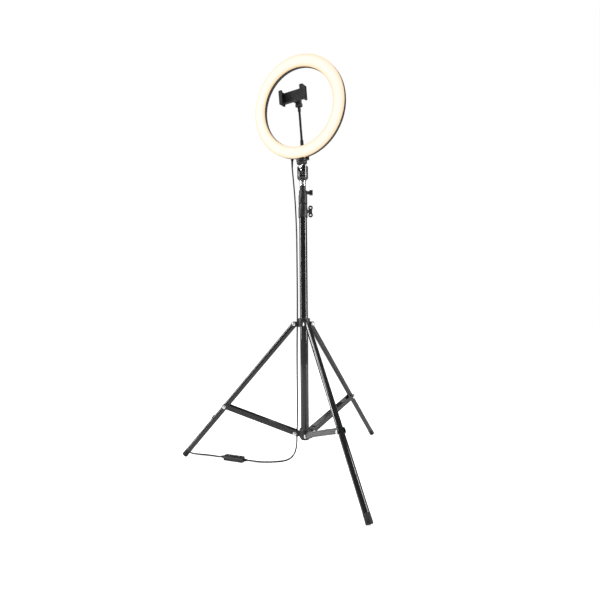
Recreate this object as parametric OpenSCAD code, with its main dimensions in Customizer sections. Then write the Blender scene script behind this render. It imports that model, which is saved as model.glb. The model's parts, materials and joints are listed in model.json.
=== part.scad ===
// Ring light on a telescoping light stand, with a phone clip inside the ring and a
// lead with an inline control. Z is up. The stand's three feet rest on z = 0 and the
// origin is midway between their outermost edges. The ring faces -Y.

/* [Ring head] */
// Outside diameter of the luminous ring
ring_d = 260; // [240:5:280]
// Width of the luminous annulus
ring_w = 30; // [26:1:34]
// Depth of the ring from its lens to its back
ring_depth = 20; // [18:1:24]
// Forward lean of the ring about the ball
head_tilt = 8.6; // [0:0.1:12]
// Height of the ring's centre above the ball
head_h = 167; // [165:1:180]

/* [Stand] */
// Radius at which a leg's centre line meets the floor
leg_spread = 314; // [290:2:340]
// Height of the leg hinges
hub_z = 332; // [310:2:350]
// Height of the lower brace hinges
brace_z = 69; // [60:1:80]
// Distance from a leg's hinge to its brace rivet
brace_at = 274; // [260:2:290]
// Outside diameter of a leg tube
leg_d = 13.6; // [12:0.1:14]
// Direction of the first leg
leg_turn = 78; // [70:1:90]
// Outside diameter of the lowest column tube
column_d = 20; // [19:0.5:21]
// Top of the lowest column tube
column_top = 612; // [590:2:630]

/* [Phone clip] */
// Closed gap between the clip's jaws
clip_gap = 59; // [50:1:64]
// Height of a jaw
jaw_h = 34; // [30:1:42]

/* [Lead] */
// Outside diameter of the lead
lead_d = 3.6; // [3:0.1:4]

/* [Hidden] */
$fn = 64;
run = 0.06;           // running clearance of a shaft in its bore
eps = 0.2;            // small overlap that keeps a cut clean

// Leg and brace geometry
leg_az = [leg_turn, leg_turn + 120, leg_turn + 240];
hinge_r = 24;
leg_lean = atan((leg_spread - hinge_r) / hub_z);
leg_len = hub_z / cos(leg_lean);
foot_r = leg_d / 2 + 0.15;
foot_l = 16;
foot_plug = 12;
foot_end = leg_len - 4.8;
rivet_r = hinge_r + brace_at * sin(leg_lean);
rivet_z = hub_z - brace_at * cos(leg_lean);
brace_len = norm([rivet_r - hinge_r, rivet_z - brace_z]);
brace_rise = atan2(rivet_z - brace_z, rivet_r - hinge_r);
ear_in = 7;
ear_t = 2;
pin_r = 2;
brace_in = 7.1;
brace_t = 1;
brace_low = -3.5;     // the channel's open edge below the hinge line
brace_deep = 11.7;
web_cut = 50;         // the brace's web stops this far short of its rivet

// How far the feet reach each way, and the column's place between them
foot_c = hinge_r + foot_end * sin(leg_lean);
function foot_reach(az, dir) = foot_c * cos(az - dir)
    + foot_r * sqrt(1 - pow(sin(leg_lean) * cos(az - dir), 2));
function reach(dir) = max([for (az = leg_az) foot_reach(az, dir)]);
column_x = (reach(180) - reach(0)) / 2;
column_y = (reach(270) - reach(90)) / 2;

// Column heights
hub_low = 325;
hub_h = 22;
lower_hub_z = 60;
lower_collar_z = 602.6;
upper_collar_z = 638.7;
upper_collar_top = 674.6;
cap_z = 675;
spigot_z = 685.7;
spigot_top = 702.7;
housing_z = 702.9;
ball_z = 723.6;
ball_r = 9.5;
outer_r = column_d / 2;
outer_bore = outer_r - 0.8;
middle_r = 8.6;
middle_bore = 7.8;
inner_r = 7.2;
inner_bore = 6.4;
knob_az = 28;
hub_knob_az = 125;
lock_az = 118;

// Ring section, measured from the ring's front plane
front_y = -4;
ring_r = ring_d / 2;
hole_r = ring_r - ring_w;
skin_d = 3.6;
board_z = ring_depth - 3.6;
boss_t = 7;
bracket_y = front_y + ring_depth + boss_t;
bracket_t = 2;
plate_z = 33.5;

// Clip geometry, in the head's frame
neck_y = front_y + 13;
neck_z = head_h - hole_r - 1.5;
neck_r = 3.1;
bend_1 = 30;
bend_2 = 65;
neck_top = 93;
clip_ball_z = 176;
clip_z = 190;
clip_back = -10;
clip_front = -21;
jaw_t = 5;
jaw_out = -33;

// Lead route, from the column's axis
lead_r = lead_d / 2;
lead_inner = [[-31, 0, 740.4], [-30.7, 4, 715], [-29.5, 8, 680], [-28, 10, 645.4]];
lead_middle = [[-28, 10, 645], [-27, 11, 615], [-26, 11.5, 585], [-25.5, 12, 555.4]];
lead_lower = [[-25.5, 12, 555], [-25, 12, 460], [-25, 12, 360], [-26.5, 11, 270], [-26.5, 11, 180],
    [-26, 11, 110], [-28, 10, 60], [-28, 9, 36], [-31, 5, 18], [-38, -2, 7], [-48, -12, 2.4],
    [-62, -25, 1.9], [-80, -38, 1.9], [-98, -47, 2.2], [-114, -54, 3.8], [-129, -60.2, 5.5]];
lead_tail = [[-199, -67.8, 5.5], [-209, -67.4, 3.6], [-222, -64, 1.9], [-242, -66, 1.9],
    [-264, -71, 1.9], [-284, -76, 1.9], [-301, -73, 1.9], [-317, -60, 1.9], [-331, -38, 1.9],
    [-352, 2, 1.9], [-379, 52, 1.9], [-406, 102, 1.9], [-433, 152, 1.9], [-460, 202, 3.2],
    [-467, 215, 4]];
control = [-164, -64, 0];
control_turn = 6.2;
control_l = 54;
control_w = 16;
control_h = 11;
seam_z = 5.5;
button_z = control_h;
plug_turn = 118.5;

// ---- frames -------------------------------------------------------------
module at_column() translate([column_x, column_y, 0]) children();
module around(az, r = 0, z = 0) at_column() rotate(az) translate([r, 0, z]) children();
module head() at_column() translate([0, 0, ball_z]) rotate([head_tilt, 0, 0]) children();
module ring_axis() head() translate([0, front_y, head_h]) rotate([-90, 0, 0]) children();
module leg_frame(i) around(leg_az[i], hinge_r, hub_z) rotate([0, 90 - leg_lean, 0]) children();
module brace_frame(i) around(leg_az[i], hinge_r, brace_z) rotate([0, -brace_rise, 0]) children();
module control_frame() at_column() translate(control) rotate(control_turn) children();

// ---- shapes -------------------------------------------------------------
module rod_x(r, x0, x1) translate([x0, 0, 0]) rotate([0, 90, 0]) cylinder(r = r, h = x1 - x0);
module rod_y(r, y0, y1) translate([0, y0, 0]) rotate([-90, 0, 0]) cylinder(r = r, h = y1 - y0);
module pipe(r, bore, z0, z1) difference() {
    translate([0, 0, z0]) cylinder(r = r, h = z1 - z0);
    translate([0, 0, z0 - eps]) cylinder(r = bore, h = z1 - z0 + 2 * eps);
}
module rounded_box(l, w, h, r) linear_extrude(h) union() {
    square([l - 2 * r, w], center = true);
    square([l, w - 2 * r], center = true);
    for (x = [-1, 1]) for (y = [-1, 1])
        translate([x * (l / 2 - r), y * (w / 2 - r)]) circle(r);
}

// A tube swept along a route: points are rounded by repeated corner cutting, then
// joined by rings square to the path.
function cut_once(p) = [p[0], for (i = [0:len(p) - 2]) each [p[i] * 0.75 + p[i + 1] * 0.25,
    p[i] * 0.25 + p[i + 1] * 0.75], p[len(p) - 1]];
function unit(v) = v / norm(v);
function ring_dir(p, i) = unit(p[min(i + 1, len(p) - 1)] - p[max(i - 1, 0)]);
function side_of(d) = unit(cross(d, abs(d[2]) > 0.8 ? [0, 1, 0] : [0, 0, 1]));
function carried(d, s) = unit(s - d * (s * d));
function sides(p, i = 0, s = undef) = let (d = ring_dir(p, i),
    now = is_undef(s) ? side_of(d) : carried(d, s))
    i == len(p) - 1 ? [now] : concat([now], sides(p, i + 1, now));
module swept(route, r, n = 8) {
    p = cut_once(route);
    s = sides(p);
    points = [for (i = [0:len(p) - 1]) let (d = ring_dir(p, i), u = s[i], v = cross(d, u))
        for (k = [0:n - 1]) p[i] + r * (cos(360 * k / n) * u + sin(360 * k / n) * v)];
    walls = [for (i = [0:len(p) - 2]) for (k = [0:n - 1])
        [i * n + k, (i + 1) * n + k, (i + 1) * n + (k + 1) % n, i * n + (k + 1) % n]];
    last = (len(p) - 1) * n;
    polyhedron(points, concat([[for (k = [0:n - 1]) k]], walls,
        [[for (k = [n - 1:-1:0]) last + k]]));
}

// ---- ring ---------------------------------------------------------------
module ring_shell() color("#26262a") difference() {
    union() {
        ring_axis() rotate_extrude($fn = 128) polygon([
            [hole_r - 0.2, skin_d], [hole_r - 0.2, 13.4], [hole_r + 0.8, 14], [hole_r + 0.8, 16],
            [hole_r + 4, ring_depth], [ring_r - 4, ring_depth], [ring_r - 0.8, 16],
            [ring_r - 0.8, 14], [ring_r + 0.2, 13.4], [ring_r + 0.2, skin_d], [ring_r - 2, skin_d],
            [ring_r - 2.6, 14.5], [ring_r - 5, ring_depth - 2], [hole_r + 5, ring_depth - 2],
            [hole_r + 2.6, 14.5], [hole_r + 2, skin_d]]);
        head() translate([-11, front_y + ring_depth - 1, 40]) cube([22, boss_t + 1, 24]);
        head() translate([0, neck_y, neck_z - 3]) cylinder(r = 4.1, h = 5);
    }
    for (a = [0:60:300]) ring_axis() rotate(a)
        translate([hole_r + ring_w / 2, 0, ring_depth - 3]) cylinder(r = 1.6, h = 4);
    for (z = [46, 58]) head() translate([0, 0, z]) rod_y(2.05, bracket_y - 6, bracket_y + 1);
    head() translate([0, neck_y, neck_z - 2.5]) cylinder(r = 2.05, h = 5);
}

module ring_diffuser() color("#fff2dc") {
    ring_axis() rotate_extrude($fn = 128) polygon([
        [hole_r, skin_d], [hole_r, 2.2], [hole_r + 1, 0.9], [hole_r + 3.6, 0.2],
        [hole_r + ring_w / 2, -1.2], [ring_r - 3.6, 0.2], [ring_r - 1, 0.9], [ring_r, 2.2],
        [ring_r, skin_d], [ring_r - 2.6, skin_d], [ring_r - 2.6, 8.6], [ring_r - 3.8, 8.6],
        [ring_r - 3.8, 2.6], [hole_r + ring_w / 2, 0.8],
        [hole_r + 3.8, 2.6], [hole_r + 3.8, 8.6], [hole_r + 2.6, 8.6], [hole_r + 2.6, skin_d]]);
    head() translate([-11, front_y + 1.2, head_h - ring_r - 1.3]) cube([22, skin_d - 1.2, 2.6]);
}

module led_board() color("#e8e8e4") ring_axis() difference() {
    translate([0, 0, board_z]) cylinder(r = ring_r - 5, h = 1.6, $fn = 128);
    translate([0, 0, board_z - eps]) cylinder(r = hole_r + 5, h = 2, $fn = 128);
    for (a = [0:60:300]) rotate(a)
        translate([hole_r + ring_w / 2, 0, board_z - eps]) cylinder(r = 1.6, h = 2);
}

module led_chips() color("#f6df8c") ring_axis() for (r = [hole_r + 9, ring_r - 9])
    for (k = [0:35]) rotate(10 * k + 5) translate([r - 1.75, -1.5, board_z - 1])
        cube([3.5, 3, 1]);

module shell_screws() color("#8a8a8c") ring_axis() for (a = [0:60:300]) rotate(a)
    translate([hole_r + ring_w / 2, 0, board_z - 1]) {
        cylinder(r = 1.5, h = ring_depth - board_z + 1.1);
        translate([0, 0, ring_depth - board_z + 1]) cylinder(r = 2.8, h = 1.2);
    }

module ring_bracket() color("#1c1c1e") head() difference() {
    union() {
        translate([-10, -9, plate_z]) cube([20, bracket_y + bracket_t + 9, 2]);
        translate([0, bracket_y + bracket_t, 52]) rotate([90, 0, 0]) linear_extrude(bracket_t)
            union() {
                translate([-10, plate_z - 52]) square([20, 80 - plate_z - 18]);
                translate([-6, 6]) square([12, 8]);
                for (x = [-6, 6]) translate([x, 10]) circle(4);
            }
    }
    for (z = [46, 58]) translate([0, 0, z]) rod_y(2.05, bracket_y - 1, bracket_y + 3);
    translate([0, 0, plate_z - 1]) cylinder(r = 3.15, h = 4);
}

module bracket_screws() color("#9a9a9c") head() for (z = [46, 58]) translate([0, 0, z]) {
    rod_y(2, bracket_y - 5.5, bracket_y + bracket_t + 0.1);
    rod_y(3.6, bracket_y + bracket_t, bracket_y + bracket_t + 2);
}

module platform_disc() color("#18181a") head() difference() {
    translate([0, 0, 27.2]) cylinder(r = 14, h = plate_z - 27.2);
    translate([0, 0, 27]) cylinder(r = 3.5 + run, h = 7);
}

module platform_wheel() color("#202022") head() difference() {
    translate([0, 0, 19.8]) union() {
        cylinder(r1 = 11.6, r2 = 13.4, h = 2);
        translate([0, 0, 2]) cylinder(r = 13.4, h = 5.2);
    }
    translate([0, 0, 19]) cylinder(r = 3.5 + run, h = 9);
    for (k = [0:23]) rotate(15 * k) translate([14.1, 0, 19]) cylinder(r = 1.1, h = 9);
}

module ball_stem() color("#d4d6d8") head() {
    sphere(r = ball_r);
    cylinder(r = 3.5, h = plate_z - 0.2);
    translate([0, 0, plate_z - 0.2]) cylinder(r = 3.1, h = 2.2);
}

module cord_gland() color("#151517") head() translate([-31, 6, 0]) {
    translate([0, 0, 36]) cylinder(r = 3.6, h = 5.6);
    translate([0, 0, 39]) rotate([-8.9, 0, 0]) translate([0, 0, -22])
        cylinder(r1 = 2, r2 = 3, h = 22);
}

// ---- gooseneck and phone clip ------------------------------------------
module neck_lower() color("#1a1a1c") head() translate([0, neck_y, neck_z]) {
    translate([0, 0, -2.3]) cylinder(r = 2, h = 5);
    translate([0, 0, 2]) cylinder(r = 5, h = 3);
    translate([0, 0, 5]) cylinder(r = 4.4, h = 13);
    translate([0, 0, 18]) cylinder(r = neck_r, h = bend_1 - neck_r - 0.2 - 18);
}
module neck_middle() color("#1a1a1c") head() translate([0, neck_y, neck_z + bend_1]) {
    sphere(r = neck_r);
    cylinder(r = neck_r, h = bend_2 - bend_1 - neck_r - 0.2);
}
module neck_upper() color("#1a1a1c") head() translate([0, neck_y, neck_z + bend_2]) {
    sphere(r = neck_r);
    cylinder(r = neck_r, h = neck_top - bend_2 - 0.2);
}
module neck_ball() color("#242426") head() translate([0, neck_y, 0]) {
    translate([0, 0, neck_z + neck_top]) cylinder(r = 4.2, h = 8);
    translate([0, 0, neck_z + neck_top + 7]) cylinder(r = 2.4, h = clip_ball_z - neck_z - neck_top - 7);
    translate([0, 0, clip_ball_z]) sphere(r = 5.5);
}
module clip_nut() color("#101012") head() translate([0, neck_y, clip_ball_z - 4.6]) difference() {
    cylinder(r = 9.6, h = 5.4);
    translate([0, 0, -1]) cylinder(r = 8.06, h = 8);
    for (k = [0:17]) rotate(20 * k) translate([10.2, 0, -1]) cylinder(r = 1, h = 8);
}
module clip_body() color("#141416") head() difference() {
    union() {
        translate([0, neck_y, clip_ball_z - 4]) cylinder(r = 8, h = 15);
        translate([-7, clip_back - 1, clip_z - 11]) cube([14, neck_y - clip_back + 1, 8]);
        translate([-clip_gap / 2, clip_front, clip_z - 12.5]) cube([clip_gap, clip_back - clip_front, 25]);
        translate([-clip_gap / 2 - jaw_t, jaw_out, clip_z - jaw_h / 2])
            cube([jaw_t, clip_back - jaw_out, jaw_h]);
        translate([-clip_gap / 2 - jaw_t, jaw_out, clip_z - jaw_h / 2]) cube([jaw_t + 4, 3, jaw_h]);
    }
    translate([0, neck_y, clip_ball_z]) sphere(r = 5.5 + run);
    translate([0, neck_y, clip_ball_z - 6]) cylinder(r1 = 6.6, r2 = 3.9, h = 6);
    for (z = [-7, 7]) translate([0, clip_front + 5.5, clip_z + z])
        rod_x(2.5 + run, -clip_gap / 2 + 3, clip_gap / 2 + 1);
    translate([-clip_gap / 2 + 3, clip_front + 3, clip_z - 3]) cube([clip_gap, 5, 6]);
}
module clip_jaw() color("#17171a") head() {
    translate([clip_gap / 2 + 0.1, jaw_out, clip_z - jaw_h / 2])
        cube([jaw_t, clip_back - jaw_out, jaw_h]);
    translate([clip_gap / 2 - 3.9, jaw_out, clip_z - jaw_h / 2]) cube([jaw_t + 4, 3, jaw_h]);
    for (z = [-7, 7]) translate([0, clip_front + 5.5, clip_z + z])
        rod_x(2.5, -clip_gap / 2 + 5, clip_gap / 2 + 1);
}
module jaw_pad(x) head() for (z = [-13, 0, 13])
    translate([x, jaw_out + 4, clip_z + z - 5.5]) cube([1.4, clip_front - jaw_out - 6, 11]);
module clip_fixed_pad() color("#2a2a2c") jaw_pad(-clip_gap / 2);
module clip_jaw_pad() color("#2a2a2c") jaw_pad(clip_gap / 2 + 0.1 - 1.4);
module clip_spring() color("#b8babc") head() translate([0, clip_front + 5.5, clip_z])
    difference() {
        rod_x(2.1, -clip_gap / 2 + 3.1, clip_gap / 2);
        rod_x(1.4, -clip_gap / 2 + 2, clip_gap / 2 + 1);
    }

// ---- ball head -----------------------------------------------------------
module ball_housing() color("#0e0e10") at_column() translate([0, 0, ball_z]) difference() {
    union() {
        translate([0, 0, housing_z - ball_z]) cylinder(r1 = 11.6, r2 = 14, h = 3.4);
        translate([0, 0, housing_z - ball_z + 3.4]) cylinder(r = 14, h = 29.8);
        translate([0, 0, housing_z - ball_z + 33.2]) cylinder(r1 = 14, r2 = 13, h = 1.8);
    }
    sphere(r = ball_r + run);
    translate([0, 0, 5]) cylinder(r1 = 8.4, r2 = 12.4, h = 10.2);
    rotate([90, 0, 0]) linear_extrude(20) union() {
        circle(4.2);
        polygon([[-4.2, 0], [-7.4, 16], [7.4, 16], [4.2, 0]]);
    }
    translate([0, 0, -14.2]) cylinder(r = 8.6, h = 11);
    translate([0, 0, housing_z - ball_z - 1]) cylinder(r = 3.1 + run, h = 9);
    for (k = [0:17]) rotate(20 * k) translate([15, 0, -13.5]) cylinder(r = 1.5, h = 10);
    rotate(lock_az) translate([0, 0, -9]) rod_x(2.5 + run, 8, 16);
}
module ball_cup() color("#c9b48c") at_column() translate([0, 0, ball_z]) difference() {
    translate([0, 0, -13.8]) cylinder(r = 8.3, h = 9.6);
    sphere(r = ball_r + run);
    translate([0, 0, -15]) cylinder(r = 3.2, h = 12);
    rotate(lock_az) translate([0, 0, -9]) rod_x(2.8, 5, 9);
}
module ball_lock_knob() color("#1a1a1c") around(lock_az, 0, ball_z - 9) difference() {
    union() {
        rod_x(2.5, 7.6, 15);
        rod_x(3.6, 14.3, 17);
        rod_x(7.2, 17, 25.6);
    }
    for (k = [0:11]) rotate([30 * k, 0, 0]) translate([16, 0, 7.9]) rotate([0, 90, 0])
        cylinder(r = 1.2, h = 11);
}
module spigot() color("#d9dbde") at_column() {
    translate([0, 0, 676]) cylinder(r = 5, h = spigot_z - 676 + 1);
    translate([0, 0, spigot_z]) cylinder(r = 7.8, h = 4);
    translate([0, 0, spigot_z + 4]) cylinder(r = 6.8, h = 1.6);
    translate([0, 0, spigot_z + 5.6]) cylinder(r = 7.8, h = 9.6);
    translate([0, 0, spigot_z + 15.2]) cylinder(r1 = 7.8, r2 = 6.4, h = 1.8);
    translate([0, 0, spigot_top]) cylinder(r = 3.1, h = 6.4);
}

// ---- column --------------------------------------------------------------
module tube_cap() color("#161618") at_column() difference() {
    union() {
        translate([0, 0, cap_z]) cylinder(r = 7.8, h = spigot_z - cap_z);
        translate([0, 0, 656]) cylinder(r = inner_bore, h = cap_z - 656);
    }
    translate([0, 0, 676]) cylinder(r = 5, h = 12);
}
module inner_tube() color("#121214") at_column() pipe(inner_r, inner_bore, 130, cap_z);
module inner_bush() color("#3a3a3c") at_column() pipe(middle_bore - run, inner_r, 130, 150);
module middle_tube() color("#121214") at_column() pipe(middle_r, middle_bore, 105, 662);
module middle_bush() color("#3a3a3c") at_column() pipe(outer_bore - run, middle_r, 105, 127);
module outer_tube() color("#121214") at_column() pipe(outer_r, outer_bore, 61, column_top);

module clamp_boss(z, r1) rotate(knob_az) translate([0, 0, z]) rod_x(5.2, r1 - 4, r1 + 2.2);

module upper_collar() color("#1b1b1e") at_column() difference() {
    union() {
        translate([0, 0, upper_collar_z]) cylinder(r = 11.3, h = 21.8);
        translate([0, 0, 660.5]) cylinder(r = 10, h = 12.4);
        translate([0, 0, 672.9]) cylinder(r1 = 10, r2 = 8.8, h = 1.7);
        clamp_boss(668, 10);
    }
    translate([0, 0, upper_collar_z - eps]) cylinder(r = middle_r, h = 662 - upper_collar_z + eps);
    translate([0, 0, 661]) cylinder(r = inner_r + run, h = 20);
    translate([0, 0, 649]) rotate_extrude() translate([11.6, 0]) square([1, 1.6]);
    rotate(knob_az) translate([0, 0, 668]) rod_x(2.4 + run, 6, 16);
}
module upper_knob() color("#1d1d20") around(knob_az, 0, 668) {
    rod_x(2.4, inner_r + 0.3, 13);
    rod_x(4.4, 12.4, 17.4);
    translate([17, -4, -6]) cube([8.4, 8, 12]);
}
module lower_collar() color("#1b1b1e") at_column() difference() {
    union() {
        translate([0, 0, lower_collar_z]) cylinder(r = 11.8, h = 26);
        translate([0, 0, lower_collar_z + 26]) cylinder(r = 11, h = 8);
        translate([0, 0, lower_collar_z + 34]) cylinder(r1 = 11, r2 = 9.6, h = 1.9);
        clamp_boss(618.6, 11);
    }
    translate([0, 0, lower_collar_z - eps])
        cylinder(r = outer_r, h = column_top - lower_collar_z + eps);
    translate([0, 0, lower_collar_z]) cylinder(r = middle_r + run, h = 40);
    rotate(knob_az) translate([0, 0, 618.6]) rod_x(2.4 + run, 8, 16);
}
module lower_wing_knob() color("#1d1d20") around(knob_az, 0, 618.6) {
    rod_x(2.4, middle_r + 0.3, 14.5);
    rod_x(4.8, 13.6, 23.4);
    for (s = [-1, 1]) translate([19.4, 2, s * 9.4]) rotate([90, 0, 0]) difference() {
        cylinder(r = 5.8, h = 4);
        translate([0, 0, -1]) cylinder(r = 2.4, h = 6);
    }
}

module lower_hub() color("#17171a") at_column() difference() {
    union() {
        translate([0, 0, lower_hub_z]) cylinder(r = 13.4, h = 20);
        translate([0, 0, lower_hub_z + 20]) cylinder(r1 = 13.4, r2 = 11.4, h = 2);
        for (az = leg_az) rotate(az) {
            translate([11, -6.9, brace_z - 5.4]) cube([hinge_r - 11, 13.8, 10.8]);
            translate([hinge_r, -6.9, brace_z]) rotate([-90, 0, 0]) cylinder(r = 5.4, h = 13.8);
        }
    }
    translate([0, 0, lower_hub_z + 1]) cylinder(r = outer_r, h = 30);
    translate([0, 0, lower_hub_z - 1]) cylinder(r = 4, h = 4);
    for (az = leg_az) rotate(az) translate([hinge_r, 0, brace_z]) rod_y(pin_r, -8, 8);
}
module column_end_cap() color("#101012") at_column() union() {
    translate([0, 0, 55.5]) cylinder(r1 = 9, r2 = 10.6, h = 1.5);
    translate([0, 0, 57]) cylinder(r = 10.6, h = 3);
    translate([0, 0, 59.5]) cylinder(r = 4, h = 5);
}
module strut_pins() color("#c4c6c8") for (az = leg_az) around(az, hinge_r, brace_z) {
    rod_y(pin_r, -9.6, 9.6);
    rod_y(4.4, -9.4, -8.3);
    rod_y(4.4, 8.3, 9.4);
}

// ---- sliding hub and legs -----------------------------------------------
module leg_hub() color("#1a1a1d") at_column() difference() {
    union() {
        translate([0, 0, hub_low]) cylinder(r = 15, h = hub_h - 2);
        translate([0, 0, hub_low + hub_h - 2]) cylinder(r1 = 15, r2 = 13, h = 2);
        for (az = leg_az) rotate(az) for (s = [-1, 1])
            translate([0, s * (ear_in + ear_t / 2) + ear_t / 2, 0]) rotate([90, 0, 0])
                linear_extrude(ear_t) union() {
                    translate([9, hub_z - 6.4]) square([hinge_r - 9, 12.8]);
                    translate([hinge_r, hub_z]) circle(6.4);
                }
    }
    translate([0, 0, hub_low - 1]) cylinder(r = outer_r + run, h = hub_h + 2);
    for (az = leg_az) rotate(az) translate([hinge_r, 0, hub_z]) rod_y(pin_r, -10, 10);
    rotate(hub_knob_az) translate([0, 0, 339]) rod_x(2.4 + run, 9, 18);
}
module hub_knob() color("#1d1d20") around(hub_knob_az, 0, 339) difference() {
    union() {
        rod_x(2.4, outer_r + 0.3, 16);
        rod_x(3, 15.4, 24);
        rod_x(6.8, 23.6, 31.6);
    }
    for (k = [0:9]) rotate([36 * k, 0, 0]) translate([22.6, 0, 7.6]) rotate([0, 90, 0])
        cylinder(r = 1.3, h = 10);
}
module leg_pins() color("#c4c6c8") for (az = leg_az) around(az, hinge_r, hub_z) {
    rod_y(pin_r, -10.2, 10.2);
    rod_y(4.2, -10, -9);
    rod_y(4.2, 9, 10);
}
module leg(i) color("#111113") leg_frame(i) difference() {
    union() {
        sphere(r = leg_d / 2);
        rod_x(leg_d / 2, 0, foot_end - foot_l);
    }
    rod_x(leg_d / 2 - 1, 14, foot_end);
    rod_y(pin_r + run, -10, 10);
    translate([brace_at, 0, 0]) rod_y(pin_r + 0.4, -10, 10);
}
module foot(i) color("#0c0c0e") difference() {
    leg_frame(i) {
        rod_x(foot_r, foot_end - foot_l, foot_end);
        rod_x(leg_d / 2 - 1, foot_end - foot_l - foot_plug, foot_end - foot_l + 1);
    }
    around(leg_az[i], leg_spread, -20) cube([80, 80, 40], center = true);
}
module strut(i) color("#1c1c1f") brace_frame(i) {
    for (s = [-1, 1]) translate([0, s * (brace_in + brace_t / 2) + brace_t / 2, 0])
        rotate([90, 0, 0]) linear_extrude(brace_t) difference() {
            union() {
                translate([0, brace_low]) square([brace_len, brace_deep]);
                for (x = [0, brace_len]) translate([x, brace_low + brace_deep / 2])
                    circle(brace_deep / 2);
            }
            circle(pin_r + run);
        }
    translate([10, -brace_in - brace_t, brace_low + brace_deep - brace_t])
        cube([brace_len - 10 - web_cut, 2 * (brace_in + brace_t), brace_t]);
    for (s = [-1, 1]) translate([brace_len, s * (brace_in + brace_t + 0.6), 0]) rod_y(4.2, -0.8, 0.8);
}

// ---- lead and inline control --------------------------------------------
module cord_inner() color("#141414") at_column() swept(lead_inner, lead_r);
module cord_middle() color("#141414") at_column() swept(lead_middle, lead_r);
module cord_lower() color("#141414") at_column() swept(lead_lower, lead_r);
module cord_tail() color("#141414") at_column() swept(lead_tail, lead_r);

module control_base() color("#1a1b20") control_frame() difference() {
    rounded_box(control_l, control_w, seam_z, 4);
    translate([0, 0, 1.6]) rounded_box(control_l - 4, control_w - 4, 8, 3);
}
module control_cover() color("#23252b") control_frame() difference() {
    union() {
        translate([0, 0, seam_z]) rounded_box(control_l, control_w, control_h - seam_z - 1, 4);
        translate([0, 0, control_h - 1]) rounded_box(control_l - 2, control_w - 2, 1, 3);
    }
    translate([0, 0, seam_z - 1]) rounded_box(control_l - 4, control_w - 4, 5, 3);
    translate([-13, 0, 0]) cylinder(r = 3.6, h = 20);
    translate([7, 0, 0]) rounded_box(21, 7.4, 20, 3.6);
}
module control_reliefs() color("#101012") control_frame() for (s = [-1, 1])
    translate([s * (control_l / 2 - 1.8), 0, seam_z]) rotate([0, s * 90, 0]) {
        cylinder(r = 3.4, h = 3.4);
        translate([0, 0, 3]) cylinder(r1 = 2.7, r2 = 2.1, h = 7);
    }
module button_power() color("#2c2e34") control_frame() translate([-13, 0, control_h - 3.2])
    cylinder(r = 3.4, h = 4);
module button_level() color("#2c2e34") control_frame() translate([7, 0, control_h - 3.2])
    rounded_box(20.6, 7, 4, 3.4);
module usb_plug() color("#1b1b1d") at_column() translate([-467, 215, 0]) rotate(plug_turn) {
    translate([0, 0, 4]) rod_x(2.4, 0, 8);
    translate([22, 0, 0]) rounded_box(30, 15, 8, 2);
    translate([36, -6, 1.75]) cube([19, 12, 4.5]);
}

// ---- output --------------------------------------------------------------
ring_shell();
ring_diffuser();
led_board();
led_chips();
shell_screws();
ring_bracket();
bracket_screws();
platform_disc();
platform_wheel();
ball_stem();
cord_gland();
neck_lower();
neck_middle();
neck_upper();
neck_ball();
clip_nut();
clip_body();
clip_jaw();
clip_fixed_pad();
clip_jaw_pad();
clip_spring();
ball_housing();
ball_cup();
ball_lock_knob();
spigot();
tube_cap();
inner_tube();
inner_bush();
upper_collar();
upper_knob();
middle_tube();
middle_bush();
lower_collar();
lower_wing_knob();
outer_tube();
lower_hub();
column_end_cap();
strut_pins();
leg_hub();
hub_knob();
leg_pins();
leg(0);  // leg_1
leg(1);  // leg_2
leg(2);  // leg_3
foot(0);  // foot_1
foot(1);  // foot_2
foot(2);  // foot_3
strut(0);  // strut_1
strut(1);  // strut_2
strut(2);  // strut_3
cord_inner();
cord_middle();
cord_lower();
cord_tail();
control_base();
control_cover();
control_reliefs();
button_power();
button_level();
usb_plug();
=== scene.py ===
import json
import math
import bmesh
import bpy
from mathutils import Matrix, Vector

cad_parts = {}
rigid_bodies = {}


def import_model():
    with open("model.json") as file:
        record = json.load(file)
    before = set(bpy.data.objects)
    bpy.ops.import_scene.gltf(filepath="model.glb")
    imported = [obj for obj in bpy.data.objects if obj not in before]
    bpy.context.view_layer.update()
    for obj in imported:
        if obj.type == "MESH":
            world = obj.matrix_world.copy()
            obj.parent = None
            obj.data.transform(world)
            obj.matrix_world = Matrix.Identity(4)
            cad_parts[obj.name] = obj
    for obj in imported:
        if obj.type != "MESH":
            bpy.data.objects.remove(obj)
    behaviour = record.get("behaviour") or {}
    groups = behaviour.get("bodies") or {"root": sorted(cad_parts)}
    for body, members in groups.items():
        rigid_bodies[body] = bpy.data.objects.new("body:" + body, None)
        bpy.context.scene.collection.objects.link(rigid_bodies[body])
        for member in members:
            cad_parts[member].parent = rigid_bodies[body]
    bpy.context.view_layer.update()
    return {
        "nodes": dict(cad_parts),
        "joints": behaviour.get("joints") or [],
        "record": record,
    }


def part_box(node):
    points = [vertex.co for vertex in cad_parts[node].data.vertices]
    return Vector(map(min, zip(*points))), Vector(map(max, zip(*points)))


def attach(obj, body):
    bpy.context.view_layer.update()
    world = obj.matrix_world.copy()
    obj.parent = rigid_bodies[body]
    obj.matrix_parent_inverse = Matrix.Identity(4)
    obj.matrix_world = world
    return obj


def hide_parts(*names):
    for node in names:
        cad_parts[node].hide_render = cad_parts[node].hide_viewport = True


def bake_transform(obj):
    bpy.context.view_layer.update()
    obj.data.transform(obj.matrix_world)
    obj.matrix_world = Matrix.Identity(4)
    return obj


for thing in list(bpy.data.objects):
    bpy.data.objects.remove(thing, do_unlink=True)

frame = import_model()
record = frame["record"]
joints = {j["name"]: j for j in frame["joints"]}
MM = 0.001

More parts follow.
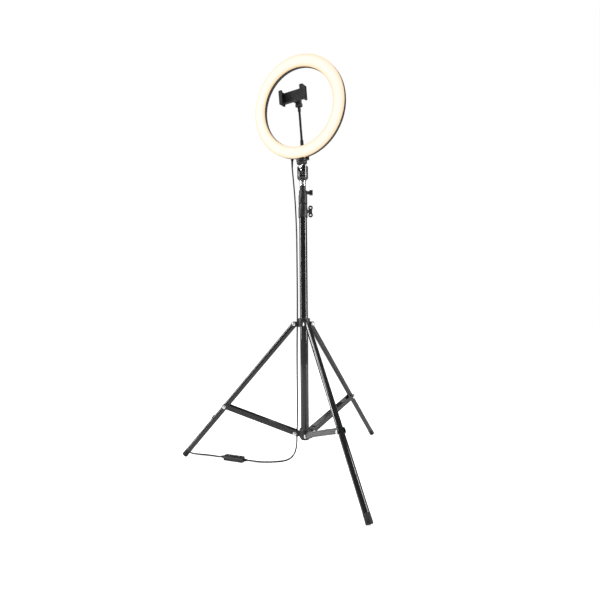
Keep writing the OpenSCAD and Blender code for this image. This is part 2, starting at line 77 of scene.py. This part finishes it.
# ---- places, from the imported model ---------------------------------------
tube_low, tube_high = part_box("outer_tube")
AXIS = Vector(((tube_low.x + tube_high.x) / 2, (tube_low.y + tube_high.y) / 2, 0))
BALL = Vector(joints["ring_tilt"]["pos_m"])
lean = Vector(joints["ring_swivel"]["axis"])
HEAD = Matrix.Translation(BALL) @ Matrix.Rotation(math.atan2(-lean.y, lean.z), 4, "X")


def column(x, y, z):
    """A point measured in millimetres from the column's axis."""
    return AXIS + Vector((x, y, z)) * MM


def at(origin, z_to=(0, 0, 1), x_to=None):
    """A frame at origin with its z along z_to and its x near x_to."""
    z = Vector(z_to).normalized()
    x = Vector(x_to) if x_to else (Vector((1, 0, 0)) if abs(z.x) < 0.8 else Vector((0, 1, 0)))
    x = (x - z * x.dot(z)).normalized()
    y = z.cross(x)
    turn = Matrix((x, y, z)).transposed().to_4x4()
    return Matrix.Translation(Vector(origin)) @ turn


# ---- camera ---------------------------------------------------------------
CAMERA_PLACE = (471.7, -891.0, 348.8)
CAMERA_AZIMUTH, CAMERA_PITCH, CAMERA_ROLL = 28.78, 6.14, 0.43
CAMERA_LENS, CAMERA_SHIFT = 24.11, (0.0043, -0.0431)
camera_data = bpy.data.cameras.new("camera")
camera_data.sensor_width = 36
camera_data.lens = CAMERA_LENS
camera_data.shift_x, camera_data.shift_y = CAMERA_SHIFT
camera_data.clip_start = 0.02
camera = bpy.data.objects.new("camera", camera_data)
bpy.context.scene.collection.objects.link(camera)
azimuth, pitch, roll = (math.radians(a) for a in (CAMERA_AZIMUTH, CAMERA_PITCH, CAMERA_ROLL))
level = math.cos(pitch)
forward = Vector((-math.sin(azimuth) * level, math.cos(azimuth) * level, math.sin(pitch)))
level_right = Vector((math.cos(azimuth), math.sin(azimuth), 0))
level_up = level_right.cross(forward)
right = level_right * math.cos(roll) - level_up * math.sin(roll)
up = level_right * math.sin(roll) + level_up * math.cos(roll)
facing = Matrix((right, up, -forward)).transposed().to_4x4()
camera.matrix_world = Matrix.Translation(column(*CAMERA_PLACE)) @ facing
bpy.context.scene.camera = camera


# ---- mesh helpers -----------------------------------------------------------
SMOOTH_BELOW = 40


def new_piece(name, bm, slot):
    """The mesh in bm as an object that wears its slot's finish."""
    mesh = to_mesh(bm, name)
    mesh.update()
    for polygon in mesh.polygons:
        polygon.use_smooth = True
    mesh.set_sharp_from_angle(angle=math.radians(SMOOTH_BELOW))
    mesh.materials.append(FINISHES[slot])
    piece = bpy.data.objects.new(name, mesh)
    bpy.context.scene.collection.objects.link(piece)
    return piece


def rounded_route(points, passes):
    """Points with their corners cut, as the model's own lead is rounded."""
    for _ in range(passes):
        cut = [points[0]]
        for a, b in zip(points, points[1:]):
            cut += [a * 0.75 + b * 0.25, a * 0.25 + b * 0.75]
        points = cut + [points[-1]]
    return points


def add_tube(bm, route, radius, sides=12, closed=False):
    """A tube round the route; radius is a number or a list, one for each point."""
    count = len(route)
    radii = radius if isinstance(radius, list) else [radius] * count
    side, rings = None, []
    for i, point in enumerate(route):
        if closed:
            along = (route[(i + 1) % count] - route[i - 1]).normalized()
        else:
            along = (route[min(i + 1, count - 1)] - route[max(i - 1, 0)]).normalized()
        if side is None:
            side = along.cross(Vector((0, 1, 0)) if abs(along.z) > 0.8 else Vector((0, 0, 1)))
        side = (side - along * side.dot(along)).normalized()
        other = along.cross(side)
        rings.append([bm.verts.new(point + radii[i] * (side * math.cos(2 * math.pi * k / sides)
                                                      + other * math.sin(2 * math.pi * k / sides)))
                      for k in range(sides)])
    for i in range(count if closed else count - 1):
        a, b = rings[i], rings[(i + 1) % count]
        for k in range(sides):
            bm.faces.new((a[k], a[(k + 1) % sides], b[(k + 1) % sides], b[k]))
    if not closed:
        bm.faces.new(list(reversed(rings[0])))
        bm.faces.new(rings[-1])


def add_lathe(bm, profile, place, steps=32):
    """The (radius, height) profile in millimetres, turned about place's z."""
    rings = []
    for radius, height in profile:
        rings.append([bm.verts.new(place @ (Vector((radius * math.cos(2 * math.pi * k / steps),
                                                     radius * math.sin(2 * math.pi * k / steps),
                                                     height)) * MM)) for k in range(steps)])
    for a, b in zip(rings, rings[1:]):
        for k in range(steps):
            bm.faces.new((a[k], a[(k + 1) % steps], b[(k + 1) % steps], b[k]))
    bm.faces.new(list(reversed(rings[0])))
    bm.faces.new(rings[-1])


def add_block(bm, place, low, high, round_by=0.5, segments=2):
    """A box between two corners in place's millimetres, with rounded edges."""
    made = bmesh.ops.create_cube(bm, size=1)["verts"]
    centre = [(a + b) / 2 for a, b in zip(low, high)]
    size = [b - a for a, b in zip(low, high)]
    for vert in made:
        local = Vector([c + s * v for c, s, v in zip(centre, size, vert.co)])
        vert.co = place @ (local * MM)
    edges = {edge for vert in made for edge in vert.link_edges}
    bmesh.ops.bevel(bm, geom=list(edges), offset=round_by * MM, segments=segments,
                    profile=0.5, affect="EDGES", clamp_overlap=True)


def to_mesh(bm, name):
    """bm as a mesh with its faces turned outwards; bm is used up."""
    bmesh.ops.recalc_face_normals(bm, faces=bm.faces)
    mesh = bpy.data.meshes.new(name)
    bm.to_mesh(mesh)
    bm.free()
    return mesh


# ---- materials --------------------------------------------------------------
def nodes_of(name):
    """A new material with its node tree, its shader and the object's own coordinates."""
    material = bpy.data.materials.new(name)
    material.use_nodes = True
    tree = material.node_tree
    shader = tree.nodes["Principled BSDF"]
    place = tree.nodes.new("ShaderNodeTexCoord").outputs["Object"]
    return material, tree, shader, place


def noise(tree, place, per_metre, detail=3.0):
    node = tree.nodes.new("ShaderNodeTexNoise")
    node.inputs["Scale"].default_value = per_metre
    node.inputs["Detail"].default_value = detail
    tree.links.new(place, node.inputs["Vector"])
    return node.outputs["Fac"]


def spread(tree, value, low, high, start=0.3, end=0.7):
    """value, from start to end, spread over low to high."""
    node = tree.nodes.new("ShaderNodeMapRange")
    node.inputs["From Min"].default_value, node.inputs["From Max"].default_value = start, end
    node.inputs["To Min"].default_value, node.inputs["To Max"].default_value = low, high
    tree.links.new(value, node.inputs["Value"])
    return node.outputs["Result"]


def two_colours(tree, value, dark, light, start=0.3, end=0.7):
    """A colour that goes from dark to light as value goes from start to end."""
    ramp = tree.nodes.new("ShaderNodeValToRGB")
    ramp.color_ramp.elements[0].position, ramp.color_ramp.elements[1].position = start, end
    ramp.color_ramp.elements[0].color = (*dark, 1)
    ramp.color_ramp.elements[1].color = (*light, 1)
    tree.links.new(value, ramp.inputs["Fac"])
    return ramp.outputs["Color"]


GRAIN_DEPTH, COAT_ROUGHNESS = 0.0002, 0.06


def finish_of(name, dark, light, rough, grain, bump, metallic=0.0, coat=0.0, specular=0.5,
              patch=60):
    """A moulded, painted or metal finish: patches of colour and gloss over a fine grain."""
    material, tree, shader, place = nodes_of(name)
    patches = noise(tree, place, patch, 4.0)
    tree.links.new(two_colours(tree, patches, dark, light), shader.inputs["Base Color"])
    fine = noise(tree, place, grain, 2.0)
    wear = noise(tree, place, patch * 3, 5.0)
    tree.links.new(spread(tree, wear, *rough), shader.inputs["Roughness"])
    height = tree.nodes.new("ShaderNodeBump")
    height.inputs["Strength"].default_value = bump
    height.inputs["Distance"].default_value = GRAIN_DEPTH
    tree.links.new(fine, height.inputs["Height"])
    tree.links.new(height.outputs["Normal"], shader.inputs["Normal"])
    shader.inputs["Metallic"].default_value = metallic
    shader.inputs["Coat Weight"].default_value = coat
    shader.inputs["Coat Roughness"].default_value = COAT_ROUGHNESS
    shader.inputs["Specular IOR Level"].default_value = specular
    return material


RING_CENTRE_UP = 167
RING_FRONT = -4
RING_MIDDLE_R, RING_HALF_WIDTH = 115, 15
LENS_BRIGHT, LENS_WARM, LENS_EDGE = (0.94, 0.89, 0.79), (0.93, 0.82, 0.64, 1), (0.90, 0.60, 0.30)
WARM_FROM, FLAT_SHARE = 0.62, 0.35


def milky_lens():
    """Lit milky plastic: near white along the middle of the band, warm towards its edges."""
    material, tree, shader, place = nodes_of("milky_lens")
    centre = HEAD @ (Vector((0, RING_FRONT, RING_CENTRE_UP)) * MM)
    shift = tree.nodes.new("ShaderNodeVectorMath")
    shift.operation = "SUBTRACT"
    shift.inputs[1].default_value = centre
    tree.links.new(place, shift.inputs[0])
    across = tree.nodes.new("ShaderNodeVectorMath")
    across.operation = "CROSS_PRODUCT"
    across.inputs[1].default_value = HEAD.to_3x3() @ Vector((0, 1, 0))
    tree.links.new(shift.outputs["Vector"], across.inputs[0])
    length = tree.nodes.new("ShaderNodeVectorMath")
    length.operation = "LENGTH"
    tree.links.new(across.outputs["Vector"], length.inputs[0])
    off = tree.nodes.new("ShaderNodeMath")
    off.operation = "SUBTRACT"
    off.inputs[1].default_value = RING_MIDDLE_R * MM
    tree.links.new(length.outputs["Value"], off.inputs[0])
    gap = tree.nodes.new("ShaderNodeMath")
    gap.operation = "ABSOLUTE"
    tree.links.new(off.outputs["Value"], gap.inputs[0])
    half = RING_HALF_WIDTH * MM
    edge = spread(tree, gap.outputs["Value"], 0, 1, FLAT_SHARE * RING_HALF_WIDTH * MM, half)
    glow = two_colours(tree, edge, LENS_BRIGHT, LENS_EDGE, 0.0, 1.0)
    glow.node.color_ramp.elements.new(WARM_FROM).color = LENS_WARM
    tree.links.new(glow, shader.inputs["Emission Color"])
    shader.inputs["Emission Strength"].default_value = 1.0
    cloud = noise(tree, place, 90, 3.0)
    tree.links.new(two_colours(tree, cloud, (0.12, 0.115, 0.105), (0.14, 0.135, 0.125)),
                   shader.inputs["Base Color"])
    haze = noise(tree, place, 300, 2.0)
    tree.links.new(spread(tree, haze, 0.5, 0.6), shader.inputs["Roughness"])
    shader.inputs["Specular IOR Level"].default_value = 0.2
    material.cycles.emission_sampling = "NONE"
    return material


FINISHES = {
    "black_paint": finish_of("black_paint", (0.010, 0.010, 0.011), (0.016, 0.016, 0.018),
                             (0.07, 0.13), 250, 0.006, coat=0.5, patch=25),
    "black_plastic": finish_of("black_plastic", (0.016, 0.016, 0.018), (0.024, 0.024, 0.026),
                               (0.34, 0.48), 1800, 0.02, patch=70),
    "gloss_black": finish_of("gloss_black", (0.007, 0.007, 0.008), (0.012, 0.012, 0.013),
                             (0.08, 0.15), 300, 0.006, coat=0.8, patch=60),
    "shell_plastic": finish_of("shell_plastic", (0.030, 0.030, 0.034), (0.042, 0.042, 0.046),
                               (0.38, 0.5), 1700, 0.03, patch=50),
    "diffuser": milky_lens(),
    "board_white": finish_of("board_white", (0.72, 0.72, 0.68), (0.8, 0.8, 0.77), (0.4, 0.5),
                             1500, 0.1, patch=120),
    "led": finish_of("led", (0.85, 0.72, 0.3), (0.95, 0.85, 0.45), (0.3, 0.4), 3000, 0.1, patch=900),
    "chrome": finish_of("chrome", (0.84, 0.85, 0.87), (0.92, 0.93, 0.94), (0.12, 0.2), 300, 0.004,
                        metallic=1.0, patch=90),
    "steel": finish_of("steel", (0.82, 0.83, 0.85), (0.93, 0.94, 0.95), (0.3, 0.42), 1200, 0.04,
                       metallic=0.75, patch=300),
    "brass": finish_of("brass", (0.6, 0.45, 0.22), (0.78, 0.62, 0.34), (0.22, 0.34), 1500, 0.1,
                       metallic=1.0, patch=200),
    "rubber": finish_of("rubber", (0.014, 0.014, 0.015), (0.026, 0.026, 0.027), (0.58, 0.74),
                        1600, 0.08, specular=0.35, patch=120),
    "bush_plastic": finish_of("bush_plastic", (0.14, 0.14, 0.15), (0.2, 0.2, 0.21), (0.4, 0.5),
                              1500, 0.15, patch=120),
    "spring_steel": finish_of("spring_steel", (0.55, 0.56, 0.58), (0.7, 0.71, 0.73), (0.18, 0.3),
                              1600, 0.1, metallic=1.0, patch=400),
    "cord_jacket": finish_of("cord_jacket", (0.012, 0.012, 0.013), (0.022, 0.022, 0.023),
                             (0.42, 0.56), 1500, 0.1, specular=0.4, patch=150),
}
slot_of = {part["node"]: part["material_slot"] for part in record["subparts"]}
for node_name, cad_object in frame["nodes"].items():
    for cad_slot in cad_object.material_slots:
        cad_slot.material = FINISHES[slot_of[node_name]]

# ---- rounded edges on the carried-over parts ----------------------------------
EDGE_MM = {"clip_body": 0.6, "clip_jaw": 0.6, "upper_knob": 1.0, "platform_wheel": 0.3,
           "platform_disc": 0.4, "upper_collar": 0.35, "lower_collar": 0.35,
           "leg_hub": 0.35, "lower_hub": 0.35, "ring_bracket": 0.35, "control_cover": 0.5,
           "control_base": 0.3, "hub_knob": 0.5, "ball_lock_knob": 0.4, "tube_cap": 0.3,
           "clip_nut": 0.3, "spigot": 0.25, "button_power": 0.4, "button_level": 0.4,
           "strut_1": 0.2, "strut_2": 0.2, "strut_3": 0.2, "foot_1": 0.5, "foot_2": 0.5,
           "foot_3": 0.5, "bracket_screws": 0.3, "clip_fixed_pad": 0.3, "clip_jaw_pad": 0.3}
EDGE_FROM, WELD_WITHIN = 40, 1e-5
for node_name, width in EDGE_MM.items():
    cad_object = frame["nodes"][node_name]
    weld = cad_object.modifiers.new("weld", "WELD")
    weld.merge_threshold = WELD_WITHIN
    bevel = cad_object.modifiers.new("bevel", "BEVEL")
    bevel.width = width * MM
    bevel.segments = 2
    bevel.limit_method = "ANGLE"
    bevel.angle_limit = math.radians(EDGE_FROM)
    bevel.use_clamp_overlap = True
    bevel.harden_normals = True

# ---- gooseneck ------------------------------------------------------------------
NECK_Y, NECK_FOOT = 9, 65.5
RIDGE_PITCH, RIDGE_LOW, RIDGE_HIGH = 1.6, 2.72, 3.15


def gooseneck(name, low, high, node):
    """A wound metal hose between two heights above the neck's foot."""
    profile, ridges = [(RIDGE_LOW, low)], round((high - low) / RIDGE_PITCH)
    pitch = (high - low) / ridges
    for i in range(ridges):
        base = low + i * pitch
        profile += [(RIDGE_LOW, base + 0.12 * pitch), (RIDGE_HIGH - 0.1, base + 0.3 * pitch),
                    (RIDGE_HIGH, base + 0.5 * pitch), (RIDGE_HIGH - 0.1, base + 0.7 * pitch),
                    (RIDGE_LOW, base + 0.88 * pitch)]
    profile.append((RIDGE_LOW, high))
    bm = bmesh.new()
    add_lathe(bm, profile, HEAD @ Matrix.Translation(Vector((0, NECK_Y, NECK_FOOT)) * MM), 24)
    piece = new_piece(name, bm, "rubber")
    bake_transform(piece)
    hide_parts(node)


gooseneck("neck_hose_lower", 17.9, 47.5, "neck_middle")
gooseneck("neck_hose_upper", 47.5, 93.2, "neck_upper")

# ---- clip spring ----------------------------------------------------------------
SPRING_FROM, SPRING_TO = Vector((-26.3, -15.5, 190)), Vector((29.3, -15.5, 190))
SPRING_TURNS, SPRING_R, WIRE_R = 22, 1.72, 0.33
COIL_STEPS = 10
coil = []
for i in range(SPRING_TURNS * COIL_STEPS + 1):
    turn = 2 * math.pi * i / COIL_STEPS
    centre = SPRING_FROM.lerp(SPRING_TO, i / (SPRING_TURNS * COIL_STEPS))
    coil.append(HEAD @ ((centre + SPRING_R * Vector((0, math.cos(turn), math.sin(turn)))) * MM))
bm = bmesh.new()
add_tube(bm, coil, WIRE_R * MM, 6)
spring = new_piece("spring_coil", bm, "spring_steel")
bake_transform(spring)
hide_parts("clip_spring")

# ---- brace ridges, rivets and pin heads -------------------------------------------
HINGE_R, BRACE_Z, BRACE_LEN, BRACE_RISE = 24, 69, 188.94, 17.444
LEG_AZIMUTHS = (78, 198, 318)
DOME = [(4.2, 0), (4.2, 0.35), (3.8, 0.85), (2.9, 1.3), (1.6, 1.6), (0.05, 1.7)]
LEG_LETTERS = ("a", "b", "c")
HUB_PIN_Z, RIVET_OUT = 332, 9.45
TOP_RIDGE_YS, TOP_RIDGE_Z, TOP_RIDGE_R, TOP_RIDGE_XS = (-5.2, -1.75, 1.75, 5.2), 8.15, 0.75, (11.5, 137.5)
SIDE_RIDGE_ZS, SIDE_RIDGE_Y, SIDE_RIDGE_R, SIDE_RIDGE_XS = (-1.6, 2.2, 6.0), 8.05, 0.7, (7, 182)


def round_column(turned, radius, height):
    """A place at a radius and height from the column's axis, facing outwards at turned degrees."""
    return (Matrix.Translation(AXIS) @ Matrix.Rotation(math.radians(turned), 4, "Z")
            @ Matrix.Translation(Vector((radius, 0, height)) * MM))


def domes(bm, place, out, scale=1.0):
    """Two rounded heads, one at each side of place, facing away along its y."""
    for side in (-1, 1):
        turn = Matrix.Rotation(-side * math.pi / 2, 4, "X")
        add_lathe(bm, [(r * scale, h) for r, h in DOME],
                  place @ Matrix.Translation(Vector((0, side * out, 0)) * MM) @ turn, 24)


for turned, letter in zip(LEG_AZIMUTHS, LEG_LETTERS):
    brace = (round_column(turned, HINGE_R, BRACE_Z)
             @ Matrix.Rotation(-math.radians(BRACE_RISE), 4, "Y"))
    bm = bmesh.new()
    for y in TOP_RIDGE_YS:
        ends = [brace @ (Vector((x, y, TOP_RIDGE_Z)) * MM) for x in TOP_RIDGE_XS]
        add_tube(bm, ends, TOP_RIDGE_R * MM, 8)
    for side in (-1, 1):
        for z in SIDE_RIDGE_ZS:
            ends = [brace @ (Vector((x, side * SIDE_RIDGE_Y, z)) * MM) for x in SIDE_RIDGE_XS]
            add_tube(bm, ends, SIDE_RIDGE_R * MM, 8)
    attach(new_piece("brace_ridges_" + letter, bm, "black_paint"), "brace_" + letter)
    bm = bmesh.new()
    domes(bm, brace @ Matrix.Translation(Vector((BRACE_LEN, 0, 0)) * MM), RIVET_OUT)
    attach(new_piece("brace_rivets_" + letter, bm, "steel"), "brace_" + letter)

for name, height, out, body, scale in (("lower_pin_heads", BRACE_Z, 9.35, "column", 1.05),
                                       ("upper_pin_heads", HUB_PIN_Z, 9.95, "leg_slider", 1.0)):
    bm = bmesh.new()
    for turned in LEG_AZIMUTHS:
        domes(bm, round_column(turned, HINGE_R, height), out, scale)
    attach(new_piece(name, bm, "steel"), body)

# ---- inline control: ribs on its reliefs, marks on its buttons ----------------------
CONTROL = Matrix.Translation(column(-164, -64, 0)) @ Matrix.Rotation(math.radians(6.2), 4, "Z")
RIB_COUNT, RIB_FROM, RIB_PITCH, RIB_R, SEAM_Z = 4, 30.2, 1.5, 0.42, 5.5
bm = bmesh.new()
for side in (-1, 1):
    for i in range(RIB_COUNT):
        x = RIB_FROM + RIB_PITCH * i
        relief = 2.85 - 0.11 * i
        loop = [CONTROL @ (Vector((side * x, relief * math.cos(a), SEAM_Z + relief * math.sin(a))) * MM)
                for a in (2 * math.pi * k / 20 for k in range(20))]
        add_tube(bm, loop, RIB_R * MM, 8, closed=True)
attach(new_piece("relief_ribs", bm, "cord_jacket"), "column")
MARK_Z, MARK_R = 11.8, 0.2
bm = bmesh.new()
arc = [CONTROL @ (Vector((-13 + 1.6 * math.sin(a), 1.6 * math.cos(a), MARK_Z)) * MM)
       for a in (math.radians(40 + 14 * k) for k in range(21))]
add_tube(bm, arc, MARK_R * MM, 6)
add_tube(bm, [CONTROL @ (Vector((-13, y, MARK_Z)) * MM) for y in (0.4, 2.2)], MARK_R * MM, 6)
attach(new_piece("power_mark", bm, "board_white"), "power_button")
bm = bmesh.new()
for points in (((12.2, 0), (15.2, 0)), ((13.7, -1.5), (13.7, 1.5)), ((-1.2, 0), (1.8, 0))):
    add_tube(bm, [CONTROL @ (Vector((x, y, MARK_Z)) * MM) for x, y in points], MARK_R * MM, 6)
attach(new_piece("level_marks", bm, "board_white"), "level_button")

# ---- USB plug -----------------------------------------------------------------------
PLUG = Matrix.Translation(column(-467, 215, 0)) @ Matrix.Rotation(math.radians(118.5), 4, "Z")
bm = bmesh.new()
add_block(bm, PLUG, (7, -7.5, 0.02), (37, 7.5, 8), 1.8, 3)
for side in (-1, 1):
    for x in (12, 15, 18, 21, 24):
        add_block(bm, PLUG, (x, side * 7.1 - 0.35, 1.8), (x + 1.4, side * 7.1 + 0.35, 6.2), 0.3, 1)
along = Matrix.Translation(Vector((0, 0, 4)) * MM) @ Matrix.Rotation(math.pi / 2, 4, "Y")
add_lathe(bm, [(1.9, 0), (2.5, 0.4), (2.5, 1.4), (2.0, 1.7), (2.05, 2.3), (2.7, 2.7), (2.7, 3.7),
               (2.2, 4.0), (2.25, 4.6), (2.9, 5.0), (2.9, 6.2), (2.5, 6.5), (2.6, 7.4)],
          PLUG @ along, 24)
overmould = new_piece("plug_grip", bm, "black_plastic")
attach(overmould, "column")
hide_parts("usb_plug")
bm = bmesh.new()
for low, high in (((36.5, -6, 5.95), (55, 6, 6.25)), ((36.5, -6, 1.75), (55, 6, 2.05)),
                  ((36.5, -6, 1.75), (55, -5.7, 6.25)), ((36.5, 5.7, 1.75), (55, 6, 6.25))):
    add_block(bm, PLUG, low, high, 0.1, 1)
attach(new_piece("plug_shell", bm, "chrome"), "column")
bm = bmesh.new()
add_block(bm, PLUG, (37, -5.6, 2.1), (54.2, 5.6, 3.9), 0.2, 1)
for y in (-3.4, 3.4):
    add_block(bm, PLUG, (43, y - 1.2, 6.15), (45.4, y + 1.2, 6.28), 0.05, 1)
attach(new_piece("plug_tongue", bm, "bush_plastic"), "column")

# ---- lead ---------------------------------------------------------------------
LEAD_D = 3.6
HEAD_ROUTE = [(-31, 0, 740.4), (-30.7, 4, 715), (-29.5, 8, 680), (-28, 10, 645.4)]
MIDDLE_ROUTE = [(-28, 10, 645.4), (-27, 11, 615), (-26, 11.5, 585), (-25.5, 12, 555.4)]
LOWER_ROUTE = [(-25.5, 12, 555.4), (-25, 12, 460), (-25, 12, 360), (-26.5, 11, 270)]
FLOOR_ROUTE = [(-26.5, 11, 180), (-26, 11, 110), (-28, 10, 60), (-28, 9, 36), (-31, 5, 18),
               (-38, -2, 7), (-48, -12, 2.4), (-62, -25, 1.9), (-80, -38, 1.9), (-98, -47, 2.2),
               (-114, -54, 3.8), (-129, -60.2, 5.5)]
TAIL_ROUTE = [(-199, -67.8, 5.5), (-209, -67.4, 3.6), (-222, -64, 1.9), (-242, -66, 1.9),
              (-264, -71, 1.9), (-284, -76, 1.9), (-301, -73, 1.9), (-317, -60, 1.9),
              (-331, -38, 1.9), (-352, 2, 1.9), (-379, 52, 1.9), (-406, 102, 1.9),
              (-433, 152, 1.9), (-460, 202, 3.2), (-467, 215, 4)]


SHORT_STEP, LONG_STEP = 0.003, 0.004
FLOOR_PART_BELOW, HANGING_ABOVE = 0.3, 0.1


def route_of(points, step):
    """A rounded route through points round the column, with a point at least every step."""
    coarse = rounded_route([column(*p) for p in points], 2)
    out = [coarse[0]]
    for a, b in zip(coarse, coarse[1:]):
        parts = max(1, round((b - a).length / step))
        out += [a.lerp(b, k / parts) for k in range(1, parts + 1)]
    return out


def part_of(route, top, bottom):
    """The stretch of a falling route between two heights in metres."""
    out = []
    for a, b in zip(route, route[1:]):
        for height in (top, bottom):
            if a.z >= height > b.z:
                out.append(a.lerp(b, (a.z - height) / (a.z - b.z)))
        if top > b.z > bottom:
            out.append(b)
    if top >= route[0].z:
        out.insert(0, route[0])
    if bottom <= route[-1].z and (out[-1] - route[-1]).length > 1e-6:
        out.append(route[-1])
    return out


def lead(name, route, bodies, node=None):
    """One length of the lead: left fixed in place when it spans two bodies, or riding on one body."""
    bm = bmesh.new()
    add_tube(bm, route, LEAD_D / 2 * MM)
    piece = new_piece(name, bm, "cord_jacket")
    if len(bodies) == 2:
        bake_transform(piece)
    else:
        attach(piece, *bodies)
    if node:
        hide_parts(node)


head_route = route_of(HEAD_ROUTE, SHORT_STEP)
lead("lead_at_ring", part_of(head_route, 741 * MM, 709 * MM), ("ring", "ball"))
lead("lead_at_ball", part_of(head_route, 709 * MM, 677.5 * MM), ("ball", "ball_head"))
lead("lead_at_spigot", part_of(head_route, 677.5 * MM, 640 * MM), ("ball_head", "inner_section"),
     "cord_inner")
lead("lead_at_middle_tube", route_of(MIDDLE_ROUTE, SHORT_STEP), ("inner_section", "middle_section"),
     "cord_middle")
lower_route = route_of(LOWER_ROUTE + FLOOR_ROUTE, LONG_STEP)
hanging = part_of(lower_route, 1, FLOOR_PART_BELOW)
lead("lead_at_lower_tube", hanging, ("middle_section", "column"))
lead("lead_on_floor", [hanging[-1]] + [p for p in lower_route if p.z < FLOOR_PART_BELOW],
     ("column",), "cord_lower")
lead("lead_to_plug", route_of(TAIL_ROUTE, LONG_STEP), ("column",), "cord_tail")

# ---- stage and light ------------------------------------------------------------
FLOOR_HALF, FLOOR_GLOW = 14, 0.68
ROOM_LIGHT, BACKDROP_LIGHT = 0.1, 1.0


def seen_only(tree, unseen, seen):
    """One value for what the camera sees directly and another for the light it gives."""
    direct = tree.nodes.new("ShaderNodeLightPath").outputs["Is Camera Ray"]
    return spread(tree, direct, unseen, seen, 0.0, 1.0)


floor_mesh = bpy.data.meshes.new("floor")
floor_mesh.from_pydata([(-FLOOR_HALF, -FLOOR_HALF, 0), (FLOOR_HALF, -FLOOR_HALF, 0),
                        (FLOOR_HALF, FLOOR_HALF, 0), (-FLOOR_HALF, FLOOR_HALF, 0)], [], [(0, 1, 2, 3)])
floor = bpy.data.objects.new("floor", floor_mesh)
bpy.context.scene.collection.objects.link(floor)
floor_material, floor_tree, floor_shader, floor_place = nodes_of("floor_paper")
floor_cloud = noise(floor_tree, floor_place, 3, 3.0)
floor_tree.links.new(two_colours(floor_tree, floor_cloud, (0.9, 0.9, 0.9), (0.93, 0.93, 0.93)),
                     floor_shader.inputs["Base Color"])
floor_shader.inputs["Roughness"].default_value = 0.9
floor_shader.inputs["Emission Color"].default_value = (1, 1, 1, 1)
floor_tree.links.new(seen_only(floor_tree, 0.0, FLOOR_GLOW), floor_shader.inputs["Emission Strength"])
floor_shader.inputs["Specular IOR Level"].default_value = 0.1
floor_material.cycles.emission_sampling = "NONE"
floor_mesh.materials.append(floor_material)

world = bpy.data.worlds.new("studio")
bpy.context.scene.world = world
world.use_nodes = True
studio = world.node_tree
backdrop = studio.nodes["Background"]
backdrop.inputs["Color"].default_value = (1, 1, 1, 1)
studio.links.new(seen_only(studio, ROOM_LIGHT, BACKDROP_LIGHT), backdrop.inputs["Strength"])
bpy.context.scene.view_settings.view_transform = "Standard"


def softbox(name, place, aim, size, power):
    """A rectangular light at place, facing aim; lengths in metres, power in watts."""
    data = bpy.data.lights.new(name, "AREA")
    data.shape = "RECTANGLE"
    data.size, data.size_y = size
    data.energy = power
    light = bpy.data.objects.new(name, data)
    bpy.context.scene.collection.objects.link(light)
    light.matrix_world = at(place, Vector(place) - Vector(aim))


sun_data = bpy.data.lights.new("key", "SUN")
sun_data.energy = 1.15
sun_data.angle = math.radians(26)
sun = bpy.data.objects.new("key", sun_data)
bpy.context.scene.collection.objects.link(sun)
sun.matrix_world = at((-1, -1, 3), (-0.55, -0.5, 1.0))
softbox("overhead", (0.3, 0.6, 2.3), (0, 0, 0.3), (0.9, 0.9), 14)
softbox("right_strip", (1.9, 0.2, 1.0), (0, 0, 0.45), (0.22, 1.7), 30)
softbox("left_strip", (-1.5, -0.9, 1.0), (0, 0, 0.45), (0.2, 1.7), 24)
